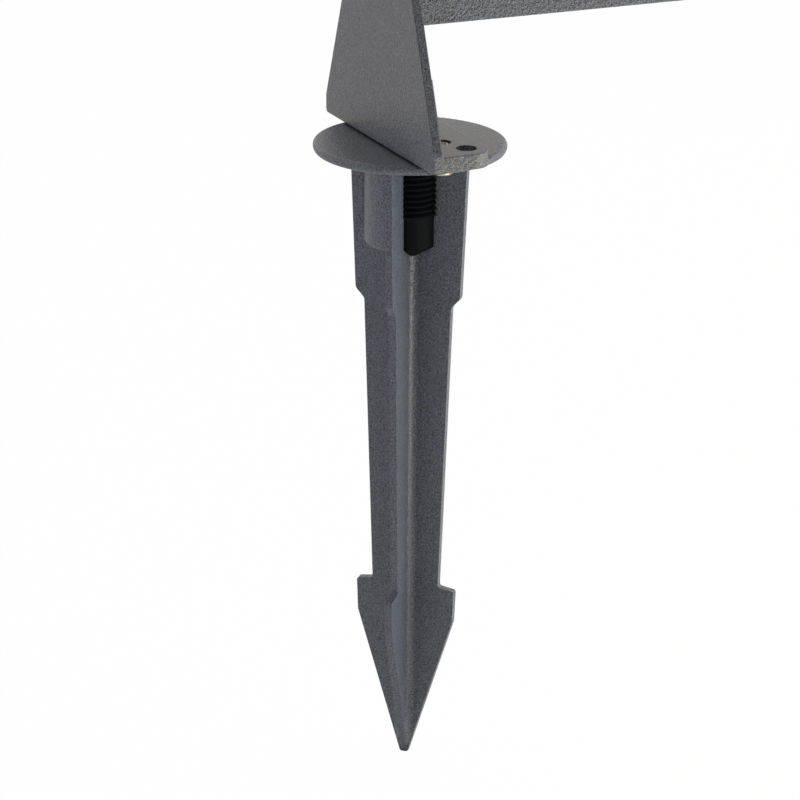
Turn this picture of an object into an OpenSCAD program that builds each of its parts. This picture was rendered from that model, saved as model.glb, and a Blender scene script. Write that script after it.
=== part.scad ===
// Garden spike light: a barbed aluminium ground spike, an A-shaped bracket bolted to its flange,
// and a small LED floodlight head that tilts on one pivot at the top of the bracket.
// +Z is up, the spike runs down along the Z axis, and z = 0 is ground level, the flange's underside.

/* [Spike] */
// Diameter of the round flange that lies on the ground
flange_d = 70; // [66:1:90]
// Thickness of the flange
flange_t = 3.7; // [3:0.1:8]
// Rounding of the flange's upper rim
rim_top_r = 1.3; // [0.4:0.1:1.4]
// Rounding of the flange's lower rim
rim_low_r = 2; // [0.4:0.1:2.2]
// Length of the spike below the flange
spike_len = 242; // [215:1:300]
// Thickness of the fins
fin_t = 2.9; // [2:0.1:5]
// Radius of the fins where they meet the flange
fin_top_w = 22.5; // [20:0.1:28]
// Depth at which the fins step in
shoulder_depth = 53; // [45:1:70]
// Height of the step
shoulder_h = 5.5; // [3:0.5:12]
// Radius of the fins just above the step
shoulder_w = 20.4; // [18:0.1:24]
// Radius of the fins just below the step
shank_top_w = 16.9; // [14:0.1:17.5]
// Depth of the barbs' upper edge
barb_depth = 170; // [130:1:190]
// Radius of the fins just above the barbs
shank_low_w = 13.15; // [10:0.1:16]
// Radius of the barbs
barb_w = 19.6; // [17:0.1:26]
// How far the barbs' upper edge drops outward
barb_drop = 1; // [0:0.5:4]
// Height of the barbs' steep side
barb_side_h = 13; // [8:0.5:20]
// Radius at the foot of that side
barb_side_w = 19.1; // [16:0.1:25]
// Radius of the blunt tip
tip_w = 1.4; // [0.8:0.1:3]
// Fillet in the corners between the fins
core_fillet = 3; // [1:0.1:4]

/* [Hub and socket] */
// Outer radius of the hub sectors
hub_r = 16.4; // [14.5:0.1:18]
// Depth of the hub below the flange
hub_depth = 34.5; // [25:0.5:45]
// Rounding of the hub's lower rim
hub_round = 2; // [0.5:0.1:4]
// Crest radius of the tapped socket
socket_r = 9.92; // [8:0.01:10.5]
// Depth of the thread's groove
thread_depth = 1.05; // [0.5:0.05:1.3]
// Pitch of the thread
thread_pitch = 2.1; // [1.4:0.1:3]
// Number of thread turns
thread_turns = 13; // [8:1:16]
// Angle at the bottom of the drilled socket
drill_angle = 118; // [90:1:140]

/* [Bracket] */
// Thickness of the side plate
plate_t = 3.2; // [2.5:0.1:6]
// Inner face of the side plate, from the spike's axis
plate_in_x = 9.5; // [8:0.1:11]
// Half width of the side plate at its foot
plate_half_w = 46.9; // [38:0.1:60]
// Height of the upright part of the side plate's edge
plate_edge_h = 6.7; // [4:0.1:15]
// Rounding of the side plate's lower corners
plate_corner_r = 1.5; // [0.5:0.1:3]
// Extra thickness of the side plate near its foot
root_pad_t = 0.35; // [0.2:0.05:1.5]
// Height of that thicker part
root_pad_h = 31.8; // [15:0.1:45]
// Inset of the thicker part from the side plate's edge
root_pad_inset = 0.2; // [0:0.1:6]
// Thickness of the foot
foot_t = 3.3; // [2.5:0.1:6]
// Length of the foot
foot_len = 73.2; // [60:0.1:80]
// Free edge of the foot, from the spike's axis
foot_out_x = 16; // [13.5:0.1:22]
// Rounding of the foot's corners
foot_corner_r = 7.4; // [1:0.1:8]
// How far the lips at the foot's ends reach down over the flange's rim
lip_h = 2.2; // [0.5:0.1:3]
// Fillet between foot and side plate
foot_fillet = 2; // [0.5:0.1:3]
// Distance of the pivot above the flange
pivot_h = 90.3; // [80:0.1:130]
// Radius of the side plate's round top
pivot_boss_r = 14.4; // [12:0.1:20]
// Diameter of the fixing holes for a deck or wall
fixing_d = 7.6; // [4:0.1:8]
// Fixing holes, from the spike's axis towards the head
fixing_x = 8.6; // [6:0.1:10]
// Spacing of the two fixing holes
fixing_pitch = 56.8; // [52:0.1:57]

/* [Base bolts] */
// Thread diameter
base_bolt_d = 5; // [4:1:5]
// Diameter of the round head
base_bolt_head_d = 9.2; // [7:0.1:10]
// Height of the head
base_bolt_head_h = 3.5; // [2.5:0.1:5]
// Washer diameter
base_washer_d = 10; // [9:0.5:11]
// Washer thickness
base_washer_t = 1; // [0.5:0.1:2]
// Bolts, from the spike's axis towards the head
base_bolt_x = 4.05; // [0:0.05:5]
// Spacing of the two bolts
base_bolt_pitch = 35.5; // [34:0.1:37]
// Diameter of the shallow recess round each bolt's end
bolt_recess_d = 6.8; // [6:0.1:8]
// Depth of that recess
bolt_recess_t = 0.9; // [0.4:0.1:1.5]

/* [Tilt pivot] */
// Thread diameter of the pivot bolt
pivot_bolt_d = 8; // [6:1:10]
// Width across flats of its head
pivot_bolt_af = 13; // [10:1:16]
// Height of its head
pivot_bolt_head_h = 5.3; // [4:0.1:7]
// Diameter of the flat washer
pivot_washer_d = 18; // [16:1:24]
// Thickness of the flat washer
pivot_washer_t = 1.6; // [1:0.1:3]
// Diameter of the spring washer
spring_washer_d = 13.6; // [12.5:0.1:16]
// Thickness of the spring washer
spring_washer_t = 2; // [1.2:0.1:3]
// Diameter of the friction disc
disc_d = 25; // [22:0.5:26]
// Thickness of the friction disc
disc_t = 1.5; // [1:0.1:3]

/* [Head] */
// Width of the head
head_w = 124; // [112:1:150]
// Height of the head
head_h = 88; // [84:1:100]
// Rounding of the head's outline
head_r = 3; // [1:0.5:8]
// Front of the head, ahead of the pivot
front_y = 19; // [18:0.5:24]
// Thickness of the bezel
bezel_t = 6; // [5:0.5:9]
// Depth of the housing behind the bezel
housing_d = 20; // [18:0.5:28]
// Wall thickness of the housing
wall_t = 3; // [2:0.1:4]
// Thickness of the housing's back wall
back_t = 3.5; // [2.5:0.1:5]
// Width of the ledge that the glass gasket lies on
ledge_w = 9; // [8:0.5:10]
// Thickness of that ledge
ledge_t = 3; // [2:0.1:5]
// How far the housing's sides draw in towards the back
draft_w = 2; // [1:0.1:2.5]
// Depth over which they draw in
draft_len = 12; // [6:0.5:14]
// Height of the pivot boss over the housing's side
boss_t = 1.5; // [1:0.1:3]
// Thickness of one cooling fin
rib_t = 1.8; // [1.2:0.1:3]
// Height of the cooling fins
rib_h = 10; // [6:0.5:14]
// Spacing of the cooling fins
rib_pitch = 6.6; // [5:0.1:9]
// Length of the cooling fins
rib_len = 74; // [70:1:80]
// Number of cooling fins on each side of the driver box
rib_count = 3; // [2:1:4]

/* [Front] */
// Width of the bezel's bars in front of the glass
bezel_bar = 12; // [10:0.5:16]
// Width of the bevel round the window
bevel_w = 2; // [0.5:0.1:3]
// Thickness of the glass
glass_t = 3; // [2:0.5:4]
// Overlap of the glass on the ledge
glass_lap = 4; // [3:0.5:5]
// Rounding of the glass's corners
glass_r = 11; // [10:0.5:12]
// Thickness of the glass gasket
gasket_t = 1; // [0.5:0.1:2]
// Thickness of the reflector's wall
reflector_t = 1.2; // [0.8:0.1:2]
// How far the reflector's sides draw in
reflector_draw_w = 6; // [4:0.5:8]
// Thickness of the LED board
board_t = 1.6; // [1:0.1:2.4]
// Columns of LEDs
led_cols = 6; // [2:1:6]
// Rows of LEDs
led_rows = 4; // [2:2:4]
// Edge length of one LED
led_size = 3.5; // [2:0.1:5]
// Height of one LED
led_t = 0.8; // [0.5:0.1:1.5]
// Spacing of the LED columns
led_pitch_x = 14; // [10:0.5:14]
// Spacing of the LED rows
led_pitch_z = 12; // [9:0.5:12]

/* [Driver box] */
// Width of the driver box
box_w = 60; // [54:1:70]
// Height of the driver box
box_h = 56; // [52:1:62]
// Depth of the driver box behind the housing
box_d = 15; // [14.6:0.1:20]
// Rounding of the driver box
box_r = 5; // [3:0.5:6]
// Thickness of the rear cover
cover_t = 2.5; // [2:0.1:4]
// Thickness of the cover gasket
cover_gasket_t = 0.8; // [0.5:0.1:1.5]
// Diameter of the cable that the gland takes
cord_d = 6.5; // [5:0.1:6.6]
// Thread diameter of the gland
gland_d = 12; // [11:0.5:12.5]
// Width across flats of the gland's collar
gland_af = 15; // [14:0.5:15]
// Length of the gland's cap
gland_cap_h = 14; // [12:0.5:18]
// Vent plug, from the gland's axis
vent_offset = 18; // [16:0.5:20]

/* [Fits] */
// Radial running clearance of the pivot bolt
run_fit = 0.08; // [0.02:0.01:0.1]
// Radial clearance of screws and plugs in their holes
hole_fit = 0.15; // [0.05:0.05:0.3]
// Gap between faces that turn on each other
face_gap = 0.1; // [0.05:0.05:0.3]
// Clearance of parts that drop into a recess
seat_fit = 0.3; // [0.1:0.1:0.5]

/* [Hidden] */

$fn = 72;

// Overrun of every cut past the face it leaves
over = 2;
// Steps in a rounded corner of an outline
corner_steps = 6;
// Steps in the fins' shoulder
shoulder_steps = 10;

paint = [0.33, 0.335, 0.35];
steel = [0.72, 0.73, 0.74];
zinc_yellow = [0.78, 0.62, 0.32];
black = [0.06, 0.06, 0.065];

// Spike
flange_r = flange_d / 2;
rim_flat_h = 0.1;
thread_start_h = 0.75;
barb_round = 1;
notch_round = 1.2;
tip_round = 0.9;
socket_extra = 0.3;
socket_depth = hub_depth + socket_extra;
drill_share = 1 / tan(drill_angle / 2);

// Base bolts
base_bolt_r = base_bolt_d / 2;
bolt_end_drop = 0.5;
bolt_end_chamfer = 0.3;
bolt_cup_r = base_bolt_r - 2 * bolt_end_chamfer;
bolt_cup_t = 1;
bolt_head_round = 1.2;
bolt_slot_l = 5;
bolt_slot_w = 1.1;
bolt_slot_t = 1.8;
hex_share = 1 / cos(30);

// Bracket
plate_out_x = plate_in_x + plate_t;
plate_gap = 0.6;
lip_gap = 0.15;
plate_foot_z = flange_t + plate_gap;
pivot_z = flange_t + pivot_h;
foot_top_z = flange_t + foot_t;

// Pivot, from left to right
pivot_bolt_r = pivot_bolt_d / 2;
disc_x = -plate_in_x + face_gap;
boss_x = disc_x + disc_t;
head_left_x = boss_x + boss_t;
boss_r = disc_d / 2;
inner_boss_r = 6.4;
inner_boss_len = 9.5;
bolt_reach = 8;
washer_x = -plate_out_x - face_gap - pivot_washer_t;
spring_x = washer_x - spring_washer_t;

// Head: its middle, its planes from front to back, and its inner sizes
head_cx = head_left_x + head_w / 2;
rim_y = -front_y + bezel_t;
back_y = rim_y + housing_d;
floor_y = back_y - back_t;
ledge_back_y = rim_y + ledge_t;
open_w = head_w - 2 * ledge_w;
open_h = head_h - 2 * ledge_w;
glass_w = open_w + 2 * glass_lap;
glass_h = open_h + 2 * glass_lap;
glass_back_y = rim_y - gasket_t;
glass_front_y = glass_back_y - glass_t;
window_w = head_w - 2 * bezel_bar;
window_h = head_h - 2 * bezel_bar;
window_r = 2.5;
inner_r = 2;
rib_slope = rib_h / 2;
board_w = 100;
board_h = 60;
board_r = 2;
board_y = floor_y - board_t;

// Screw bosses that hold the bezel from behind
bezel_screw_inset = 6.2;
bezel_screw_bite = 4;
post_r = 4;

// Screws of the bezel, the board, the driver and the cover
screw_d = 3;
screw_head_d = 5.5;
screw_head_h = 1.8;
screw_key_af = 2;
screw_key_t = 1;
screw_r = screw_d / 2;
// Depth of the screws' thread in the housing's back wall
screw_bite = 2.4;
board_screw_x = 41;
board_screw_z = 24;

// Driver box
box_back_y = back_y + box_d;
cover_front_y = box_back_y + cover_gasket_t;
cover_back_y = cover_front_y + cover_t;
cover_screw_inset = 4.6;
cover_screw_bite = 7;
box_post_r = 3.4;
wire_hole_r = 4;
wire_hole_room = 3;
wire_hole_x = box_w / 2 - wall_t - wire_hole_room - wire_hole_r;
wire_hole_z = 0;
grommet_bore_r = 2;
lead_r = 1.8;
lead_h = 5;
lead_y = back_y + lead_h;
grommet_lip = 1.4;
grommet_lip_t = 1.2;
board_hole_r = 3;

driver_ear = 6;
driver_ear_t = 2;
driver_ear_h = 10;
driver_side_gap = 1;
driver_top_gap = 5;
driver_side_room = 12;
driver_low_room = 24;
driver_w = box_w - 2 * wall_t - 2 * driver_ear - driver_side_room;
driver_h = box_h - 2 * wall_t - driver_low_room;
driver_d = 11;
driver_x = -box_w / 2 + wall_t + driver_side_gap + driver_ear + driver_w / 2;
driver_z = box_h / 2 - wall_t - driver_top_gap - driver_h / 2;
driver_ear_z = driver_z + driver_ear_h / 2;
driver_lid_inset = 1.4;
driver_lid_t = 1;

terminal_w = 20;
terminal_h = 9;
terminal_d = 9;
terminal_low_gap = 6.5;
terminal_x = driver_x;
terminal_z = -box_h / 2 + wall_t + terminal_low_gap + terminal_h / 2;
terminal_ways = 3;
terminal_pitch = 6;
terminal_screw_r = 1.5;
terminal_screw_t = 1.2;
terminal_slot_t = 0.5;
wire_port_r = 1.6;
wire_r = 0.9;
wire_y = 4.5;

// Gland, from the driver box's lower wall down
gland_x = 12;
gland_cap_r = 7.8;
gland_clear = 0.3;
gland_y = back_y + gland_clear + gland_cap_r;
gland_r = gland_d / 2;
gland_top_z = -box_h / 2;
gland_collar_h = 3.5;
gland_thread_l = 10;
gland_bore_r = 4.7;
gland_nut_t = 3;
gland_nut_af = 13;
gland_cap_flutes = 10;
gland_flute_r = 0.7;
gland_cap_lip = 2.4;
gland_cap_gap = 0.4;
gland_nose_r = 5.4;
gland_nose_h = 4;
gland_seal_r = gland_bore_r - hole_fit;
gland_seal_l = 9;
gland_cap_top_z = gland_top_z - gland_collar_h - gland_cap_gap;
gland_cap_end_z = gland_cap_top_z - gland_cap_h;
gland_seal_end_z = gland_cap_end_z + gland_cap_lip;

vent_r = 3;
vent_head_r = 4.6;
vent_head_h = 3;

// Points of a rounded corner at b, between the edges towards a and c
function unit(v) = v / norm(v);
function corner(a, b, c, r) =
    let (u = unit(a - b), v = unit(c - b), half = acos(u * v) / 2)
    let (mid = b + unit(u + v) * r / sin(half), s = b + u * r / tan(half) - mid)
    let (e = b + v * r / tan(half) - mid)
    let (from = atan2(s.y, s.x), turn = sign(cross(s, e)) * acos(s * e / (r * r)))
    [for (i = [0:corner_steps]) mid + r * [cos(from + turn * i / corner_steps),
        sin(from + turn * i / corner_steps)]];

// Right half of a fin's outline, from the flange down to the tip
function shoulder() = [for (i = [0:shoulder_steps])
    let (share = i / shoulder_steps)
    [shoulder_w + (shank_top_w - shoulder_w) * (1 - cos(180 * share)) / 2,
        -shoulder_depth - shoulder_h * share]];
fin_notch = [shank_low_w, -barb_depth];
fin_barb = [barb_w, -barb_depth - barb_drop];
fin_side = [barb_side_w, -barb_depth - barb_drop - barb_side_h];
fin_tip = [tip_w, -spike_len];
shoulder_foot = [shank_top_w, -shoulder_depth - shoulder_h];
tip_foot = [0, -spike_len];
fin_half = concat(
    [[fin_top_w, over / 2]],
    [[fin_top_w, 0]],
    shoulder(),
    corner(shoulder_foot, fin_notch, fin_barb, notch_round),
    corner(fin_notch, fin_barb, fin_side, barb_round),
    [fin_side],
    corner(fin_side, fin_tip, tip_foot, tip_round));

function mirrored(points) = [for (i = [len(points) - 1:-1:0]) [-points[i].x, points[i].y]];

// Outline of the tapped socket, and with a clearance that of the plug in it
function socket_outline(clear, top) = concat(
    [[0, top], [socket_r - clear, top]],
    top > flange_t ? [[socket_r - clear, flange_t]] : [],
    [for (i = [1:thread_turns], part = [0:1])
        [socket_r - clear + thread_depth * (1 - part),
            flange_t - thread_start_h - (i - 1 + part / 2) * thread_pitch]],
    [[socket_r - clear, -socket_depth], [0, -socket_depth - (socket_r - clear) * drill_share]]);

// Flat shapes

module round_rect(w, h, r) {
    square([w - 2 * r, h], center = true);
    square([w, h - 2 * r], center = true);
    for (sx = [-1, 1], sy = [-1, 1])
        translate([sx * (w / 2 - r), sy * (h / 2 - r)]) circle(r);
}

module ring(r_out, r_in) {
    difference() {
        circle(r_out);
        circle(r_in);
    }
}

module quarter(r) {
    intersection() {
        circle(r);
        square(r);
    }
}

// Extrusions of a flat shape: along X, of a Y-Z shape; along Y, of an X-Z shape

module along_x(x0, x1) {
    translate([x0, 0, 0]) rotate([90, 0, 90]) linear_extrude(x1 - x0) children();
}

module along_y(y0, y1) {
    translate([0, y1, 0]) rotate([90, 0, 0]) linear_extrude(y1 - y0) children();
}

module along_z(z0, z1) {
    translate([0, 0, z0]) linear_extrude(z1 - z0) children();
}

module at_pivot() {
    translate([0, 0, pivot_z]) children();
}

module at_head() {
    translate([head_cx, 0, pivot_z]) children();
}

module four(x, z) {
    for (sx = [-1, 1], sz = [-1, 1])
        translate([sx * x, 0, sz * z]) children();
}

module base_bolt_places() {
    for (side = [-1, 1])
        translate([base_bolt_x, side * base_bolt_pitch / 2, 0]) children();
}

module fixing_places() {
    for (side = [-1, 1])
        translate([fixing_x, side * fixing_pitch / 2, 0]) children();
}

// Spike

module fin_pair(angle) {
    rotate([0, 0, angle]) rotate([90, 0, 0])
        linear_extrude(fin_t, center = true) polygon(concat(fin_half, mirrored(fin_half)));
}

// Disc with a rounded rim; where the disc is thin, the lower rounding gives way
module flange() {
    low_r = min(rim_low_r, flange_t - rim_top_r - rim_flat_h);
    rotate_extrude() {
        square([flange_r - low_r, flange_t - rim_top_r]);
        translate([0, low_r]) square([flange_r - rim_top_r, flange_t - low_r]);
        translate([0, low_r]) square([flange_r, flange_t - low_r - rim_top_r]);
        translate([flange_r - rim_top_r, flange_t - rim_top_r]) quarter(rim_top_r);
        translate([flange_r - low_r, low_r]) mirror([0, 1]) quarter(low_r);
    }
}

module hub_sectors() {
    reach = 2 * hub_r;
    intersection() {
        rotate_extrude() {
            translate([0, -hub_depth]) square([hub_r - hub_round, hub_depth]);
            translate([0, hub_round - hub_depth]) square([hub_r, hub_depth - hub_round]);
            translate([hub_r - hub_round, hub_round - hub_depth]) circle(hub_round);
        }
        along_z(-hub_depth - over, over)
            for (side = [-1, 1])
                polygon([[0, 0], [side * reach, reach], [side * reach, -reach]]);
    }
}

module core() {
    side = fin_t + 2 * core_fillet;
    taper_top = -barb_depth - barb_drop - barb_side_h;
    intersection() {
        along_z(-spike_len, 0) difference() {
            square(side, center = true);
            for (sx = [-1, 1], sy = [-1, 1])
                translate([sx * side / 2, sy * side / 2]) circle(core_fillet);
        }
        union() {
            along_z(taper_top, 0) circle(barb_side_w);
            translate([0, 0, -spike_len])
                cylinder(h = spike_len + taper_top, r1 = tip_w, r2 = barb_side_w);
        }
    }
}

module spike() {
    color(paint) difference() {
        union() {
            flange();
            fin_pair(45);
            fin_pair(135);
            rotate([0, 0, 45]) core();
            hub_sectors();
        }
        rotate_extrude() polygon(socket_outline(0, flange_t + over));
        base_bolt_places() translate([0, 0, -over])
            cylinder(h = flange_t + 2 * over, r = base_bolt_r + hole_fit);
        fixing_places() translate([0, 0, -over])
            cylinder(h = flange_t + 2 * over, d = fixing_d);
    }
}

module socket_plug() {
    color(black) rotate_extrude() polygon(socket_outline(hole_fit, flange_t - face_gap));
}

// Pan head bolts from below: a cross in the head, a cupped end in the foot's recess
module base_bolts() {
    head_r = base_bolt_head_d / 2;
    head_top = -base_washer_t;
    head_low = head_top - base_bolt_head_h;
    end_z = foot_top_z - bolt_end_drop;
    color(zinc_yellow) base_bolt_places() difference() {
        union() {
            rotate_extrude() {
                translate([0, head_low]) square([head_r - bolt_head_round, base_bolt_head_h]);
                translate([0, head_low + bolt_head_round])
                    square([head_r, base_bolt_head_h - bolt_head_round]);
                translate([head_r - bolt_head_round, head_low + bolt_head_round]) circle(bolt_head_round);
            }
            translate([0, 0, head_top]) cylinder(h = end_z - bolt_end_chamfer - head_top, r = base_bolt_r);
            translate([0, 0, end_z - bolt_end_chamfer])
                cylinder(h = bolt_end_chamfer, r1 = base_bolt_r, r2 = base_bolt_r - bolt_end_chamfer);
        }
        translate([0, 0, end_z - bolt_cup_t]) cylinder(h = bolt_cup_t + over, r = bolt_cup_r);
        for (turn = [0, 90])
            rotate([0, 0, turn]) along_z(head_low - over, head_low + bolt_slot_t)
                square([bolt_slot_l, bolt_slot_w], center = true);
    }
}

module base_washers() {
    color(zinc_yellow) base_bolt_places() along_z(-base_washer_t, 0)
        ring(base_washer_d / 2, base_bolt_r + hole_fit);
}

// Bracket

// Y-Z outline of the side plate: an upright edge at the foot, then straight up to the round top
module plate_outline(inset) {
    low = plate_foot_z;
    w = plate_half_w - inset;
    edge_top = [w, low + plate_edge_h];
    middle = [0, pivot_z];
    r = pivot_boss_r - inset;
    away = edge_top - middle;
    turn = atan2(away.y, away.x) + acos(r / norm(away));
    touch = middle + r * [cos(turn), sin(turn)];
    half = concat(
        [touch, edge_top],
        corner(edge_top, [w, low], [0, low], plate_corner_r));
    polygon(concat(half, mirrored(half)));
    translate(middle) circle(r);
}

// Outline of the foot: straight along the side plate, its two free corners round
module foot_outline() {
    foot_half = foot_len / 2;
    translate([-plate_in_x, -foot_half])
        square([foot_out_x + plate_in_x - foot_corner_r, foot_len]);
    translate([-plate_in_x, -foot_half + foot_corner_r])
        square([foot_out_x + plate_in_x, foot_len - 2 * foot_corner_r]);
    for (side = [-1, 1])
        translate([foot_out_x - foot_corner_r, side * (foot_half - foot_corner_r)])
            circle(foot_corner_r);
}

module bracket() {
    pad_top = flange_t + root_pad_h;
    color(paint) difference() {
        union() {
            along_x(-plate_out_x, -plate_in_x) plate_outline(0);
            along_x(-plate_in_x, -plate_in_x + root_pad_t) intersection() {
                plate_outline(root_pad_inset);
                translate([-plate_half_w, 0]) square([2 * plate_half_w, pad_top]);
            }
            along_z(flange_t, foot_top_z) foot_outline();
            along_z(flange_t - lip_h, foot_top_z) difference() {
                foot_outline();
                circle(flange_r + lip_gap);
            }
            translate([-plate_in_x + root_pad_t, foot_len / 2, foot_top_z]) rotate([90, 0, 0])
                linear_extrude(foot_len) difference() {
                    square(foot_fillet);
                    translate([foot_fillet, foot_fillet]) circle(foot_fillet);
                }
        }
        base_bolt_places() {
            translate([0, 0, flange_t - over])
                cylinder(h = foot_t + 2 * over, r = base_bolt_r + hole_fit);
            translate([0, 0, foot_top_z - bolt_recess_t])
                cylinder(h = bolt_recess_t + over, d = bolt_recess_d);
        }
        fixing_places() translate([0, 0, flange_t - over])
            cylinder(h = foot_t + 2 * over, d = fixing_d);
        at_pivot() along_x(-plate_out_x - over, -plate_in_x + over)
            circle(pivot_bolt_r + run_fit);
    }
}

// Tilt pivot

module pivot_bolt() {
    key_af = 6;
    key_t = 3;
    color(steel) at_pivot() difference() {
        union() {
            along_x(spring_x - pivot_bolt_head_h, spring_x)
                circle(d = pivot_bolt_af * hex_share, $fn = 6);
            along_x(spring_x, boss_x + bolt_reach) circle(pivot_bolt_r);
        }
        along_x(spring_x - pivot_bolt_head_h - over, spring_x - pivot_bolt_head_h + key_t)
            circle(d = key_af * hex_share, $fn = 6);
    }
}

module pivot_spring_washer() {
    split_w = 1;
    color(steel) at_pivot() along_x(spring_x, washer_x) difference() {
        ring(spring_washer_d / 2, pivot_bolt_r + hole_fit);
        translate([0, -split_w / 2]) square([spring_washer_d, split_w]);
    }
}

module pivot_washer() {
    color(steel) at_pivot() along_x(washer_x, washer_x + pivot_washer_t)
        ring(pivot_washer_d / 2, pivot_bolt_r + hole_fit);
}

module tilt_disc() {
    color(black) at_pivot() along_x(disc_x, boss_x) ring(boss_r, pivot_bolt_r + hole_fit);
}

// Head

module housing_shell() {
    half_h = head_h / 2;
    half_w = head_w / 2;
    draft_y = back_y - draft_len;
    intersection() {
        along_y(rim_y, back_y) round_rect(head_w, head_h, head_r);
        along_x(-head_w, head_w) polygon([[rim_y, half_h], [draft_y, half_h],
            [back_y, half_h - draft_w], [back_y, draft_w - half_h], [draft_y, -half_h],
            [rim_y, -half_h]]);
        along_z(-head_h, head_h) polygon([[half_w, rim_y], [half_w, draft_y],
            [half_w - draft_w, back_y], [draft_w - half_w, back_y], [-half_w, draft_y],
            [-half_w, rim_y]]);
    }
}

// Cooling fin from z0 to z1, its lower end drawn in by low_slope at the crest
module rib(z0, z1, low_slope) {
    root_y = back_y - back_t / 2;
    crest_y = back_y + rib_h;
    along_x(-rib_t / 2, rib_t / 2) polygon([[root_y, z0], [back_y, z0], [crest_y, z0 + low_slope],
        [crest_y, z1 - rib_slope], [back_y, z1], [root_y, z1]]);
}

module cooling_ribs() {
    first = box_w / 2 + rib_pitch;
    for (side = [-1, 1], i = [0:rib_count - 1])
        translate([side * (first + i * rib_pitch), 0, 0]) rib(-rib_len / 2, rib_len / 2, rib_slope);
    short_count = floor(box_w / 2 / rib_pitch);
    for (i = [-short_count:short_count])
        translate([i * rib_pitch, 0, 0]) rib(box_h / 2 - over, rib_len / 2, 0);
}

module driver_box() {
    along_y(back_y - back_t / 2, box_back_y) round_rect(box_w, box_h, box_r);
}

module box_posts() {
    four(box_w / 2 - cover_screw_inset, box_h / 2 - cover_screw_inset)
        along_y(back_y, box_back_y) circle(box_post_r);
}

module cover_screw_places() {
    four(box_w / 2 - cover_screw_inset, box_h / 2 - cover_screw_inset) children();
}

module bezel_screw_places() {
    four(head_w / 2 - bezel_screw_inset, head_h / 2 - bezel_screw_inset) children();
}

module housing() {
    head_clear = screw_head_d / 2 + hole_fit;
    color(paint) difference() {
        union() {
            difference() {
                union() {
                    at_head() housing_shell();
                    at_head() cooling_ribs();
                    at_head() driver_box();
                    at_pivot() along_x(boss_x, head_left_x + wall_t) circle(boss_r);
                }
                at_head() along_y(ledge_back_y, floor_y)
                    round_rect(head_w - 2 * wall_t, head_h - 2 * wall_t, inner_r);
                at_head() along_y(rim_y - over, ledge_back_y + over)
                    round_rect(open_w, open_h, inner_r);
                at_head() along_y(back_y, box_back_y + over)
                    round_rect(box_w - 2 * wall_t, box_h - 2 * wall_t, box_r - wall_t);
            }
            at_head() bezel_screw_places() along_y(ledge_back_y - ledge_t / 2, floor_y + back_t / 2)
                circle(post_r);
            at_head() box_posts();
            at_pivot() along_x(boss_x, boss_x + inner_boss_len) circle(inner_boss_r);
        }
        at_pivot() along_x(boss_x - over, boss_x + bolt_reach + hole_fit)
            circle(pivot_bolt_r + hole_fit);
        at_head() bezel_screw_places() {
            along_y(rim_y - over, back_y + over) circle(screw_r + hole_fit);
            along_y(back_y - screw_head_h, back_y + over) circle(head_clear);
        }
        at_head() four(board_screw_x, board_screw_z) along_y(floor_y - over, floor_y + screw_bite)
            circle(screw_r + hole_fit);
        at_head() translate([wire_hole_x, 0, wire_hole_z]) along_y(floor_y - over, back_y + over)
            circle(wire_hole_r);
        at_head() cover_screw_places() along_y(box_back_y - cover_screw_bite - hole_fit, box_back_y + over)
            circle(screw_r + hole_fit);
        at_head() driver_screw_places() along_y(back_y - screw_bite, back_y + over)
            circle(screw_r + hole_fit);
        at_head() translate([gland_x, gland_y, 0]) along_z(gland_top_z - over, gland_top_z + wall_t + over)
            circle(gland_r + hole_fit);
        at_head() translate([gland_x - vent_offset, gland_y, 0])
            along_z(gland_top_z - over, gland_top_z + wall_t + over) circle(vent_r + hole_fit);
    }
}

module bezel() {
    thread_l = bezel_screw_bite + hole_fit;
    color(paint) at_head() difference() {
        along_y(-front_y, rim_y) round_rect(head_w, head_h, head_r);
        along_y(-front_y - over, rim_y + over) round_rect(window_w, window_h, window_r);
        along_y(glass_front_y, rim_y + over)
            round_rect(glass_w + 2 * seat_fit, glass_h + 2 * seat_fit, glass_r + seat_fit);
        hull() {
            along_y(-front_y - over, -front_y)
                round_rect(window_w + 2 * bevel_w, window_h + 2 * bevel_w, window_r + bevel_w, $fn = 32);
            along_y(-front_y, glass_front_y) round_rect(window_w, window_h, window_r, $fn = 32);
        }
        bezel_screw_places() along_y(rim_y - thread_l, rim_y + over)
            circle(screw_r + hole_fit);
    }
}

// Cap screw with a hexagon socket, its shank towards the front
module screw(seat_y, shank_l) {
    difference() {
        union() {
            along_y(seat_y - shank_l, seat_y) circle(screw_r);
            along_y(seat_y, seat_y + screw_head_h) circle(screw_head_d / 2);
        }
        along_y(seat_y + screw_head_h - screw_key_t, seat_y + screw_head_h + over)
            circle(d = screw_key_af * hex_share, $fn = 6);
    }
}

module bezel_screws() {
    seat_y = back_y - screw_head_h;
    color(steel) at_head() bezel_screw_places() screw(seat_y, seat_y - rim_y + bezel_screw_bite);
}

module glass() {
    color([0.8, 0.88, 0.88, 0.35]) at_head() along_y(glass_front_y, glass_back_y)
        round_rect(glass_w, glass_h, glass_r);
}

module glass_gasket() {
    color(black) at_head() along_y(glass_back_y, rim_y) difference() {
        round_rect(glass_w, glass_h, glass_r);
        round_rect(open_w, open_h, inner_r);
    }
}

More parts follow.
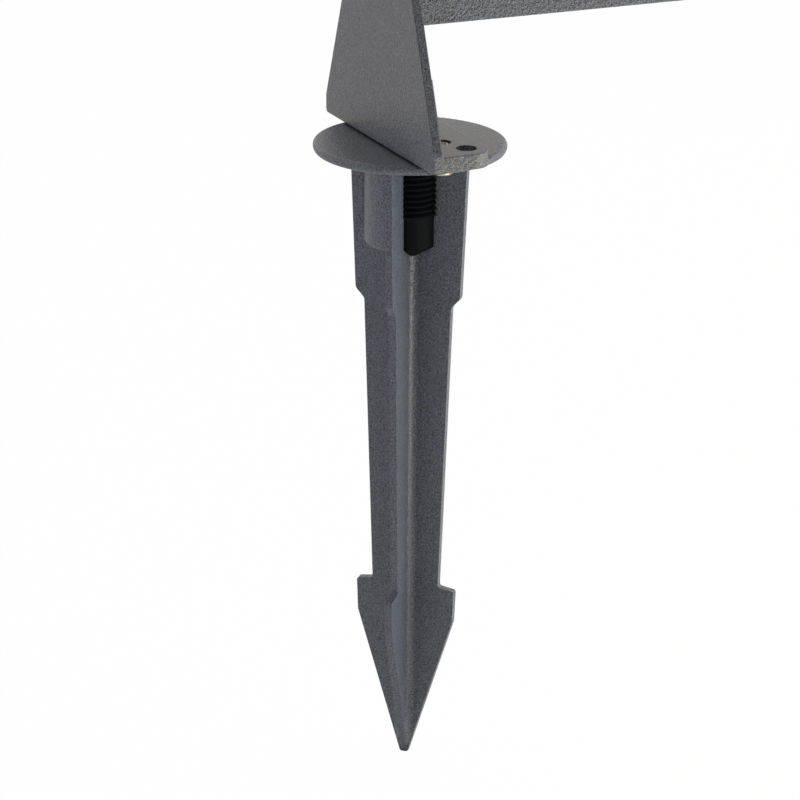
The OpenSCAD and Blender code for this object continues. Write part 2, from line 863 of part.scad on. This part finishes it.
module reflector() {
    front_w = open_w - 2 * seat_fit;
    front_h = open_h - 2 * seat_fit;
    back_w = front_w - 2 * reflector_draw_w;
    back_h = front_h - 2 * reflector_draw_w;
    front = rim_y + seat_fit;
    back = board_y;
    color([0.86, 0.87, 0.88]) at_head() difference() {
        hull() {
            along_y(front, front + reflector_t) round_rect(front_w, front_h, inner_r, $fn = 32);
            along_y(back - reflector_t, back) round_rect(back_w, back_h, inner_r, $fn = 32);
        }
        hull() {
            along_y(front - over, front)
                round_rect(front_w - 2 * reflector_t, front_h - 2 * reflector_t, inner_r, $fn = 32);
            along_y(back, back + over)
                round_rect(back_w - 2 * reflector_t, back_h - 2 * reflector_t, inner_r, $fn = 32);
        }
    }
}

module led_board() {
    color([0.9, 0.9, 0.88]) at_head() difference() {
        along_y(board_y, floor_y) round_rect(board_w, board_h, board_r);
        four(board_screw_x, board_screw_z) along_y(board_y - over, floor_y + over)
            circle(screw_r + hole_fit);
        translate([wire_hole_x, 0, wire_hole_z]) along_y(board_y - over, floor_y + over)
            circle(board_hole_r);
    }
}

module leds() {
    color([0.93, 0.8, 0.35]) at_head()
        for (column = [0:led_cols - 1], row = [0:led_rows - 1])
            translate([led_pitch_x * (column - (led_cols - 1) / 2), 0,
                led_pitch_z * (row - (led_rows - 1) / 2)])
                along_y(board_y - led_t, board_y) square(led_size, center = true);
}

module board_screws() {
    color(steel) at_head() four(board_screw_x, board_screw_z) mirror([0, 1, 0])
        screw(-board_y, board_t + screw_bite - hole_fit);
}

module rear_cover() {
    color(paint) at_head() difference() {
        along_y(cover_front_y, cover_back_y) round_rect(box_w, box_h, box_r);
        cover_screw_places() along_y(cover_front_y - over, cover_back_y + over)
            circle(screw_r + hole_fit);
    }
}

module cover_gasket() {
    color(black) at_head() along_y(box_back_y, cover_front_y) difference() {
        round_rect(box_w, box_h, box_r);
        difference() {
            round_rect(box_w - 2 * wall_t, box_h - 2 * wall_t, box_r - wall_t);
            four_flat(box_w / 2 - cover_screw_inset, box_h / 2 - cover_screw_inset) circle(box_post_r);
        }
        four_flat(box_w / 2 - cover_screw_inset, box_h / 2 - cover_screw_inset)
            circle(screw_r + hole_fit);
    }
}

module four_flat(x, y) {
    for (sx = [-1, 1], sy = [-1, 1])
        translate([sx * x, sy * y]) children();
}

module cover_screws() {
    color(steel) at_head() cover_screw_places()
        screw(cover_back_y, cover_t + cover_gasket_t + cover_screw_bite);
}

// Driver box contents

module driver_screw_places() {
    for (side = [-1, 1])
        translate([driver_x + side * (driver_w + driver_ear) / 2, 0, driver_ear_z]) children();
}

module driver_case() {
    color([0.85, 0.85, 0.82]) at_head() difference() {
        union() {
            translate([driver_x, 0, driver_z])
                along_y(back_y, back_y + driver_d) square([driver_w, driver_h], center = true);
            translate([driver_x, 0, driver_ear_z]) along_y(back_y, back_y + driver_ear_t)
                square([driver_w + 2 * driver_ear, driver_ear_h], center = true);
        }
        translate([driver_x, 0, driver_z])
            along_y(back_y + driver_d - driver_lid_t, back_y + driver_d + over)
                square([driver_w - 2 * driver_lid_inset, driver_h - 2 * driver_lid_inset], center = true);
        driver_screw_places() along_y(back_y - over, back_y + driver_ear_t + over)
            circle(screw_r + hole_fit);
    }
}

module driver_screws() {
    color(steel) at_head() driver_screw_places()
        screw(back_y + driver_ear_t, driver_ear_t + screw_bite - hole_fit);
}

module terminal_places() {
    for (i = [0:terminal_ways - 1])
        translate([terminal_x + (i - (terminal_ways - 1) / 2) * terminal_pitch, 0, terminal_z]) children();
}

module terminal_block() {
    top_y = back_y + terminal_d;
    color([0.9, 0.9, 0.88]) at_head() difference() {
        translate([terminal_x, 0, terminal_z]) along_y(back_y, top_y)
            square([terminal_w, terminal_h], center = true);
        terminal_places() {
            along_y(top_y - 2 * terminal_screw_t, top_y + over) circle(terminal_screw_r + hole_fit);
            translate([0, back_y + wire_y, 0]) along_z(-terminal_h / 2 - over, terminal_h / 2 - wire_port_r)
                circle(wire_port_r);
        }
    }
}

module terminal_screws() {
    top_y = back_y + terminal_d - terminal_screw_t;
    color(steel) at_head() terminal_places() difference() {
        along_y(top_y - terminal_screw_t, top_y) circle(terminal_screw_r);
        along_y(top_y - terminal_slot_t, top_y + over)
            square([2 * terminal_screw_r + over, terminal_slot_t], center = true);
    }
}

module lead_wires() {
    color([0.55, 0.12, 0.1]) at_head() terminal_places() translate([0, back_y + wire_y, 0])
        along_z(terminal_h / 2, driver_z - driver_h / 2 - terminal_z) circle(wire_r);
}

// Supply lead from the driver through the grommet to the LED board
module led_lead() {
    start_x = driver_x + driver_w / 2;
    color([0.85, 0.85, 0.85]) at_head() translate([0, 0, wire_hole_z]) {
        translate([0, lead_y, 0]) along_x(start_x, wire_hole_x) circle(lead_r);
        translate([wire_hole_x, lead_y, 0]) sphere(lead_r);
        translate([wire_hole_x, 0, 0]) along_y(board_y, lead_y) circle(lead_r);
    }
}

module wire_grommet() {
    color(black) at_head() translate([wire_hole_x, 0, wire_hole_z]) difference() {
        union() {
            along_y(floor_y + hole_fit, back_y) circle(wire_hole_r - hole_fit);
            along_y(back_y, back_y + grommet_lip_t) circle(wire_hole_r + grommet_lip);
        }
        along_y(floor_y - over, back_y + grommet_lip_t + over) circle(grommet_bore_r);
    }
}

// Cable gland and vent

module at_gland() {
    at_head() translate([gland_x, gland_y, 0]) children();
}

module gland_body() {
    thread_end_z = gland_top_z - gland_collar_h - gland_thread_l;
    inner_z = gland_top_z + wall_t + gland_nut_t;
    color(black) at_gland() difference() {
        union() {
            along_z(thread_end_z, inner_z) circle(gland_r);
            along_z(gland_top_z - gland_collar_h, gland_top_z) circle(d = gland_af * hex_share, $fn = 6);
        }
        along_z(thread_end_z - over, inner_z + over) circle(gland_bore_r);
    }
}

module gland_locknut() {
    color(black) at_gland() along_z(gland_top_z + wall_t, gland_top_z + wall_t + gland_nut_t) difference() {
        circle(d = gland_nut_af * hex_share, $fn = 6);
        circle(gland_r + run_fit);
    }
}

module gland_seal() {
    color([0.12, 0.12, 0.12]) at_gland() along_z(gland_seal_end_z, gland_seal_end_z + gland_seal_l)
        ring(gland_seal_r, cord_d / 2);
}

module gland_cap() {
    color(black) at_gland() difference() {
        union() {
            along_z(gland_cap_end_z + gland_nose_h, gland_cap_top_z) circle(gland_cap_r);
            translate([0, 0, gland_cap_end_z])
                cylinder(h = gland_nose_h, r1 = gland_nose_r, r2 = gland_cap_r);
        }
        along_z(gland_seal_end_z, gland_cap_top_z + over) circle(gland_r + run_fit);
        along_z(gland_cap_end_z - over, gland_seal_end_z + over) circle(cord_d / 2 + seat_fit);
        for (i = [0:gland_cap_flutes - 1])
            rotate([0, 0, i * 360 / gland_cap_flutes]) translate([gland_cap_r, 0, 0])
                along_z(gland_cap_end_z + gland_nose_h, gland_cap_top_z + over) circle(gland_flute_r);
    }
}

module vent_plug() {
    color(black) at_head() translate([gland_x - vent_offset, gland_y, 0]) {
        along_z(gland_top_z - vent_head_h, gland_top_z) circle(vent_head_r);
        along_z(gland_top_z, gland_top_z + wall_t) circle(vent_r);
    }
}

spike();
socket_plug();
base_bolts();
base_washers();
bracket();
pivot_bolt();
pivot_spring_washer();
pivot_washer();
tilt_disc();
housing();
bezel();
bezel_screws();
glass();
glass_gasket();
reflector();
led_board();
leds();
board_screws();
rear_cover();
cover_gasket();
cover_screws();
driver_case();
driver_screws();
terminal_block();
terminal_screws();
lead_wires();
led_lead();
wire_grommet();
gland_body();
gland_locknut();
gland_seal();
gland_cap();
vent_plug();
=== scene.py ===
"""Looks of the garden spike light: finishes, studio light and the camera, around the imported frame."""

import math

import bpy
from mathutils import Matrix, Vector


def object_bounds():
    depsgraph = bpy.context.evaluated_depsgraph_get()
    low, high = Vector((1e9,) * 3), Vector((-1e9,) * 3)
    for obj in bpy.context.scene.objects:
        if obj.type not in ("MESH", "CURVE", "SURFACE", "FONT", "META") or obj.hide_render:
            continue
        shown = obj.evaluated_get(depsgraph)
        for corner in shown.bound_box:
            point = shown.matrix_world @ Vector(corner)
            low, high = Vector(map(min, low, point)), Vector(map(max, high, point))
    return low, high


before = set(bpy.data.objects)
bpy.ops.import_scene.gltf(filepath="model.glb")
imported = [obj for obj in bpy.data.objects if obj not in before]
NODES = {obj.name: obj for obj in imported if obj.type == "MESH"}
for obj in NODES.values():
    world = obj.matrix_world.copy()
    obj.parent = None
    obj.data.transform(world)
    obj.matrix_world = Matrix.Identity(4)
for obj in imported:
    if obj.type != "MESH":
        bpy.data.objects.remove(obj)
cad_low, cad_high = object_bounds()

# Lengths are metres, as the frame's are
MM = 0.001

BLACK = (0.0, 0.0, 0.0)
WHITE = (1.0, 1.0, 1.0)


# ---- Shader nodes ----

# Sockets of a colour mix node, which share their names with sockets of other types
MIX_FIRST, MIX_SECOND, MIX_RESULT = 6, 7, 2

# Detail and roughness of a noise
SOFT = (2.0, 0.5)
UNEVEN = (2.0, 0.6)
BLOTCHY = (3.0, 0.6)
GRITTY = (4.0, 0.7)

# Middle range of a noise, where most of its values lie
MIDDLE = (0.3, 0.7)


def put(tree, socket, value):
    """Sets a socket, or joins it where the value is another node's output."""
    if isinstance(value, bpy.types.NodeSocket):
        tree.links.new(value, socket)
    else:
        socket.default_value = value


def feed(tree, node, **values):
    """Fills a node's inputs by name."""
    for name, value in values.items():
        put(tree, node.inputs[name.replace("_", " ")], value)
    return node


def add(tree, kind, **values):
    """A new node with its inputs filled by name."""
    return feed(tree, tree.nodes.new(kind), **values)


def operate(tree, kind, operation, first, second):
    """Result of a math or vector math node."""
    node = tree.nodes.new(kind)
    node.operation = operation
    for socket, value in zip(node.inputs, (first, second)):
        put(tree, socket, value)
    return node.outputs["Value"]


def principled(name):
    """A new material with its node tree and principled shader."""
    material = bpy.data.materials.new(name)
    material.use_nodes = True
    tree = material.node_tree
    return material, tree, tree.nodes["Principled BSDF"]


def noise(tree, size, character=SOFT, stretch=None):
    """Noise whose features are about size metres across, in the object's own frame, so it keeps its real size."""
    coords = tree.nodes.new("ShaderNodeTexCoord").outputs["Object"]
    if stretch:
        coords = add(tree, "ShaderNodeMapping", Vector=coords, Scale=stretch).outputs["Vector"]
    detail, roughness = character
    return add(tree, "ShaderNodeTexNoise", Vector=coords, Scale=1.0 / size, Detail=detail,
               Roughness=roughness).outputs["Fac"]


def spread(tree, value, low, high, span=MIDDLE):
    """The value's span, mapped to low and high and held there beyond it."""
    start, end = span
    return add(tree, "ShaderNodeMapRange", Value=value, From_Min=start, From_Max=end, To_Min=low,
               To_Max=high).outputs["Result"]


def opaque(colour):
    return (*colour, 1.0)


def scaled(colour, share):
    return tuple(channel * share for channel in colour)


def tint(tree, value, dark, light):
    """A colour between dark and light, by the value."""
    ramp = add(tree, "ShaderNodeValToRGB", Fac=value)
    for stop, colour in zip(ramp.color_ramp.elements, (dark, light)):
        stop.color = opaque(colour)
    return ramp.outputs["Color"]


def mix_colours(tree, share, first, second, blend="MIX"):
    node = add(tree, "ShaderNodeMix", Factor=share)
    node.data_type = "RGBA"
    node.blend_type = blend
    put(tree, node.inputs[MIX_FIRST], first)
    put(tree, node.inputs[MIX_SECOND], second)
    return node.outputs[MIX_RESULT]


def multiply_colours(tree, first, second):
    return mix_colours(tree, 1.0, first, second, "MULTIPLY")


def mix_shaders(tree, share, usual, shown, output):
    """Gives the output node the usual shader, and by the share the shown one."""
    node = add(tree, "ShaderNodeMixShader", Fac=share)
    put(tree, node.inputs[1], usual)
    put(tree, node.inputs[2], shown)
    feed(tree, output, Surface=node.outputs["Shader"])


def bump(tree, height, strength, depth, normal):
    """Shading normal of a surface with the given height map, depth metres from low to high."""
    return add(tree, "ShaderNodeBump", Height=height, Strength=strength, Distance=depth,
               Normal=normal).outputs["Normal"]


# ---- Edges, and painted shade in recesses ----

BEVEL_SAMPLES = 6
RECESS_SAMPLES = 8

# Turn of the rounded normal from the flat one, as their dot product, from a full edge to none
EDGE_SPAN = (0.8, 0.99)
# Open share of the sky from full painted shade in a recess to none
RECESS_SPAN = (0.3, 0.85)


def round_edges(tree, radius):
    """Shading normal that rounds every edge by the given radius, as a coat or a mould does."""
    node = add(tree, "ShaderNodeBevel", Radius=radius)
    node.samples = BEVEL_SAMPLES
    return node.outputs["Normal"]


def edge_share(tree, radius):
    """About 1 on an edge and 0 on a flat face."""
    flat = tree.nodes.new("ShaderNodeNewGeometry").outputs["Normal"]
    likeness = operate(tree, "ShaderNodeVectorMath", "DOT_PRODUCT", round_edges(tree, radius), flat)
    return spread(tree, likeness, 1.0, 0.0, EDGE_SPAN)


def painted_recess_shade(tree, reach, dark):
    """Painted shade: 1 on open faces, falling to dark in gaps, holes and corners, as they would be shaded."""
    node = add(tree, "ShaderNodeAmbientOcclusion", Distance=reach)
    node.samples = RECESS_SAMPLES
    return spread(tree, node.outputs["AO"], dark, 1.0, RECESS_SPAN)


# ---- Finishes ----

# Powder coat
COAT_EDGE_R = 0.6 * MM
COAT_GLOSS = 0.7
COAT_GRAIN_SPAN = (0.34, 0.68)
COAT_COARSE_SHARE = 1.9
COAT_COARSE_SPAN = (0.35, 0.75)
COAT_COARSE_DEPTH = 0.2 * MM
COAT_FINE_DEPTH = 0.12 * MM
COAT_CLOUD_SIZE = 22 * MM
COAT_CLOUD_DARK = (0.94, 0.94, 0.95)
# Painted shade in recesses: how far the darkening reaches, and its darkest share
COAT_PAINTED_SHADE_REACH = 5 * MM
COAT_PAINTED_SHADE_DARK = 0.3
# Lighter edges, partly worn paint and partly painted highlight: patch size and spread, and how much lighter the
# colour gets
COAT_EDGE_PATCH_SIZE = 1.6 * MM
COAT_EDGE_PATCH_SPAN = (0.35, 0.65)
COAT_WEAR_AND_HIGHLIGHT_SHARE = 2.6

# Plated and stainless steel
METAL_EDGE_R = 0.2 * MM
METAL_STAIN_SIZE = 2.5 * MM
METAL_STAIN_SHARE = 0.88
METAL_SCRATCH_SIZE = 0.25 * MM
METAL_SCRATCH_DEPTH = 0.03 * MM
METAL_SCRATCH_BUMP = 0.15

# Plastic and rubber
PLASTIC_EDGE_R = 0.3 * MM
PLASTIC_CLOUD_SIZE = 9 * MM
PLASTIC_CLOUD_SHARE = 0.86
PLASTIC_GRAIN_SIZE = 0.5 * MM
PLASTIC_GRAIN_DEPTH = 0.05 * MM
PLASTIC_GRAIN_BUMP = 0.15

# Glass
GLASS_TINT = (0.94, 0.98, 0.97)
GLASS_IOR = 1.5
GLASS_SMEAR_SIZE = 14 * MM
GLASS_ROUGHNESS = (0.02, 0.09)


def powder_coat(name, colour, grain, contrast, relief, edge_lightening, roughness):
    """Textured powder coat: two sizes of grain, slight cloudiness, painted shade in recesses and lighter edges
    that are partly worn paint and partly painted highlight.
    """
    material, tree, shader = principled(name)
    fine = noise(tree, grain, GRITTY)
    coarse = noise(tree, COAT_COARSE_SHARE * grain, UNEVEN)
    cloud = noise(tree, COAT_CLOUD_SIZE)
    base = tint(tree, spread(tree, fine, 0.0, 1.0, COAT_GRAIN_SPAN), scaled(colour, 1.0 - contrast),
                scaled(colour, 1.0 + contrast))
    base = multiply_colours(tree, base, tint(tree, spread(tree, cloud, 0.0, 1.0), COAT_CLOUD_DARK, WHITE))
    # Painted shade: the coat's colour darkened in gaps, holes and corners
    painted_shade = painted_recess_shade(tree, COAT_PAINTED_SHADE_REACH, COAT_PAINTED_SHADE_DARK)
    base = multiply_colours(tree, base, tint(tree, painted_shade, BLACK, WHITE))
    # Lighter edges in patches, partly worn paint and partly painted highlight
    patches = spread(tree, noise(tree, COAT_EDGE_PATCH_SIZE, BLOTCHY), 0.0, edge_lightening, COAT_EDGE_PATCH_SPAN)
    edge_wear_and_highlight = operate(tree, "ShaderNodeMath", "MULTIPLY", edge_share(tree, COAT_EDGE_R), patches)
    worn_and_highlight_colour = opaque(scaled(colour, COAT_WEAR_AND_HIGHLIGHT_SHARE))
    height = spread(tree, coarse, 0.0, 1.0, COAT_COARSE_SPAN)
    rough = bump(tree, height, relief, COAT_COARSE_DEPTH, round_edges(tree, COAT_EDGE_R))
    feed(tree, shader, Base_Color=mix_colours(tree, edge_wear_and_highlight, base, worn_and_highlight_colour),
         Roughness=spread(tree, fine, *roughness), Specular_IOR_Level=COAT_GLOSS,
         Normal=bump(tree, fine, relief, COAT_FINE_DEPTH, rough))
    return material


def metal(name, colour, roughness=(0.25, 0.42), brush=None):
    """Plated or stainless steel with fine scratches and slight staining."""
    material, tree, shader = principled(name)
    stains = spread(tree, noise(tree, METAL_STAIN_SIZE, BLOTCHY), 0.0, 1.0)
    scratches = noise(tree, METAL_SCRATCH_SIZE, SOFT, brush)
    feed(tree, shader, Base_Color=tint(tree, stains, scaled(colour, METAL_STAIN_SHARE), colour),
         Metallic=1.0, Roughness=spread(tree, scratches, *roughness),
         Normal=bump(tree, scratches, METAL_SCRATCH_BUMP, METAL_SCRATCH_DEPTH,
                     round_edges(tree, METAL_EDGE_R)))
    return material


def plastic(name, colour, roughness=(0.4, 0.55), gloss=0.5):
    """Moulded plastic or rubber with a fine spark-eroded grain."""
    material, tree, shader = principled(name)
    grain = noise(tree, PLASTIC_GRAIN_SIZE)
    cloud = spread(tree, noise(tree, PLASTIC_CLOUD_SIZE), 0.0, 1.0)
    feed(tree, shader, Base_Color=tint(tree, cloud, scaled(colour, PLASTIC_CLOUD_SHARE), colour),
         Roughness=spread(tree, grain, *roughness), Specular_IOR_Level=gloss,
         Normal=bump(tree, grain, PLASTIC_GRAIN_BUMP, PLASTIC_GRAIN_DEPTH,
                     round_edges(tree, PLASTIC_EDGE_R)))
    return material


def clear_glass(name):
    """Tempered glass with a faint green tint and light smears."""
    material, tree, shader = principled(name)
    smears = spread(tree, noise(tree, GLASS_SMEAR_SIZE, BLOTCHY), *GLASS_ROUGHNESS)
    feed(tree, shader, Base_Color=opaque(GLASS_TINT), Transmission_Weight=1.0, IOR=GLASS_IOR,
         Roughness=smears)
    return material


FINISHES = {
    "cast": powder_coat("cast_coat", (0.101, 0.122, 0.168), grain=0.55 * MM, contrast=0.95, relief=0.65,
                        edge_lightening=0.12, roughness=(0.28, 0.42)),
    "bracket": powder_coat("bracket_coat", (0.11, 0.123, 0.157), grain=0.5 * MM, contrast=0.95, relief=0.5,
                           edge_lightening=0.08, roughness=(0.3, 0.42)),
    "zinc": metal("yellow_zinc", (0.78, 0.69, 0.5), roughness=(0.2, 0.35)),
    "steel": metal("stainless_steel", (0.6, 0.6, 0.61)),
    "black": plastic("black_plastic", (0.0035, 0.005, 0.0075), roughness=(0.6, 0.75), gloss=0.08),
    "rubber": plastic("black_rubber", (0.018, 0.018, 0.018), roughness=(0.6, 0.8)),
    "glass": clear_glass("tempered_glass"),
    "reflector": metal("satin_reflector", (0.82, 0.83, 0.84), roughness=(0.28, 0.4), brush=(1.0, 1.0, 6.0)),
    "board": plastic("white_board", (0.82, 0.82, 0.8), roughness=(0.35, 0.45)),
    "phosphor": plastic("led_phosphor", (0.85, 0.62, 0.12), roughness=(0.25, 0.4)),
    "ivory": plastic("ivory_plastic", (0.74, 0.73, 0.68)),
    "red": plastic("red_insulation", (0.42, 0.05, 0.04)),
}
WEARS = {
    "cast": ("spike", "housing", "bezel", "rear_cover"),
    "bracket": ("bracket",),
    "zinc": ("base_bolts", "base_washers"),
    "steel": ("pivot_bolt", "pivot_spring_washer", "pivot_washer", "bezel_screws", "board_screws",
              "cover_screws", "driver_screws", "terminal_screws"),
    "black": ("socket_plug", "tilt_disc", "gland_body", "gland_locknut", "gland_cap", "vent_plug"),
    "rubber": ("glass_gasket", "cover_gasket", "wire_grommet", "gland_seal", "led_lead"),
    "glass": ("glass",),
    "reflector": ("reflector",),
    "board": ("led_board",),
    "phosphor": ("leds",),
    "ivory": ("driver_case", "terminal_block"),
    "red": ("lead_wires",),
}


def dress():
    """Gives every node of the frame its finish."""
    for finish, names in WEARS.items():
        for name in names:
            piece = NODES[name]
            piece.data.materials.clear()
            piece.data.materials.append(FINISHES[finish])


# ---- Surroundings ----

# As they light the object: cooler from the sides, warmer from above and dimmer from the camera's side
WORLD_LIGHT = 0.9
WORLD_FRONT = 0.1
WORLD_BELOW = (0.84, 0.91, 1.08)
WORLD_ABOVE = (1.05, 0.975, 0.855)
# Direction of the dim side, and its reach and the rise from cool to warm, as dot products with a direction
DIM_SIDE = Vector((-0.12, -0.88, 0.45)).normalized()
DIM_SPAN = (0.2, 0.9)
RISE_SPAN = (-0.05, 0.25)


def make_world():
    """White to the camera and through glass, and coloured and dimmer as it lights the object."""
    world = bpy.data.worlds.new("studio")
    bpy.context.scene.world = world
    world.use_nodes = True
    tree = world.node_tree
    path = tree.nodes.new("ShaderNodeLightPath").outputs
    seen = operate(tree, "ShaderNodeMath", "MAXIMUM", path["Is Camera Ray"], path["Is Transmission Ray"])
    direction = tree.nodes.new("ShaderNodeTexCoord").outputs["Generated"]
    dim = operate(tree, "ShaderNodeVectorMath", "DOT_PRODUCT", direction, DIM_SIDE)
    rise = add(tree, "ShaderNodeSeparateXYZ", Vector=direction).outputs["Z"]
    lighting = add(tree, "ShaderNodeBackground",
                   Color=tint(tree, spread(tree, rise, 0.0, 1.0, RISE_SPAN), WORLD_BELOW, WORLD_ABOVE),
                   Strength=spread(tree, dim, WORLD_LIGHT, WORLD_FRONT, DIM_SPAN))
    shown = add(tree, "ShaderNodeBackground", Color=opaque(WHITE), Strength=1.0)
    mix_shaders(tree, seen, lighting.outputs["Background"], shown.outputs["Background"],
                tree.nodes["World Output"])


FLOOR_HALF = 3.0
FLOOR_DROP = 0.2 * MM
FLOOR_COLOUR = (0.9, 0.9, 0.9)
FLOOR_ROUGHNESS = 0.9
# How much of the floor that the camera sees is plain white
FLOOR_SHOWN_SHARE = 0.98


def make_floor():
    """A plain floor under the spike's tip, which lights the object from below and shows almost pure white."""
    z = cad_low.z - FLOOR_DROP
    mesh = bpy.data.meshes.new("floor")
    corners = [(sx * FLOOR_HALF, sy * FLOOR_HALF, z) for sx, sy in ((-1, -1), (1, -1), (1, 1), (-1, 1))]
    mesh.from_pydata(corners, [], [(0, 1, 2, 3)])
    floor = bpy.data.objects.new("floor", mesh)
    bpy.context.scene.collection.objects.link(floor)
    material, tree, shader = principled("white_floor")
    feed(tree, shader, Base_Color=opaque(FLOOR_COLOUR), Roughness=FLOOR_ROUGHNESS)
    glow = add(tree, "ShaderNodeEmission", Color=opaque(WHITE), Strength=1.0)
    camera_ray = tree.nodes.new("ShaderNodeLightPath").outputs["Is Camera Ray"]
    seen = operate(tree, "ShaderNodeMath", "MULTIPLY", camera_ray, FLOOR_SHOWN_SHARE)
    mix_shaders(tree, seen, shader.outputs["BSDF"], glow.outputs["Emission"],
                tree.nodes["Material Output"])
    mesh.materials.append(material)


# Softboxes that look at the flange: azimuth and elevation seen from there, in degrees, then distance, width
# and height in metres, watts and colour
LIGHTS = {
    "key_low": (-32, -6, 0.65, 0.35, 0.25, 0.55, (1.0, 0.98, 0.9)),
    "spike_low": (-48, -28, 0.36, 0.2, 0.1, 0.52, (1.0, 0.95, 0.76)),
    "back_right": (30, 25, 1.0, 0.6, 0.6, 1.2, (1.0, 0.9, 0.75)),
    "key_right": (-12, 0, 1.0, 0.7, 0.8, 3.2, (1.0, 0.98, 0.94)),
    "left": (178, 8, 1.0, 0.6, 0.5, 0.45, (0.6, 0.76, 1.0)),
}


def make_lights():
    for name, (azimuth, elevation, distance, width, height, power, colour) in LIGHTS.items():
        turn, rise = math.radians(azimuth), math.radians(elevation)
        direction = Vector((math.cos(turn) * math.cos(rise), math.sin(turn) * math.cos(rise), math.sin(rise)))
        lamp = bpy.data.lights.new(name, "AREA")
        lamp.shape = "RECTANGLE"
        lamp.size = width
        lamp.size_y = height
        lamp.energy = power
        lamp.color = colour
        holder = bpy.data.objects.new(name, lamp)
        holder.location = direction * distance
        holder.rotation_mode = "QUATERNION"
        holder.rotation_quaternion = (-direction).to_track_quat("-Z", "Y")
        bpy.context.scene.collection.objects.link(holder)


# ---- Camera ----

# Measured from the photograph in the object's own frame
IMAGE_PX = 800
FOCAL_PX = 2793.8
SENSOR_MM = 36.0
CAMERA_PLACE = Vector((-0.40976, -0.88193, 0.27144))
CAMERA_HEADING = math.radians(24.75)
CAMERA_PITCH = math.radians(20.71)
CAMERA_ROLL = math.radians(0.45)

CLIP_START = 0.05
CLIP_END = 50.0


def camera_axes():
    """The camera's right, up and backward directions."""
    ahead = Vector((math.sin(CAMERA_HEADING) * math.cos(CAMERA_PITCH),
                    math.cos(CAMERA_HEADING) * math.cos(CAMERA_PITCH), -math.sin(CAMERA_PITCH)))
    level = ahead.cross(Vector((0.0, 0.0, 1.0))).normalized()
    right = Matrix.Rotation(-CAMERA_ROLL, 3, ahead) @ level
    return right, right.cross(ahead), -ahead


def make_camera():
    data = bpy.data.cameras.new("photo_camera")
    data.sensor_width = SENSOR_MM
    data.lens = FOCAL_PX * SENSOR_MM / IMAGE_PX
    data.clip_start = CLIP_START
    data.clip_end = CLIP_END
    holder = bpy.data.objects.new("photo_camera", data)
    axes = Matrix(camera_axes()).transposed().to_4x4()
    holder.matrix_world = Matrix.Translation(CAMERA_PLACE) @ axes
    bpy.context.scene.collection.objects.link(holder)
    bpy.context.scene.camera = holder


dress()
make_world()
make_floor()
make_lights()
make_camera()
bpy.context.scene.view_settings.view_transform = "Standard"

bpy.context.view_layer.update()
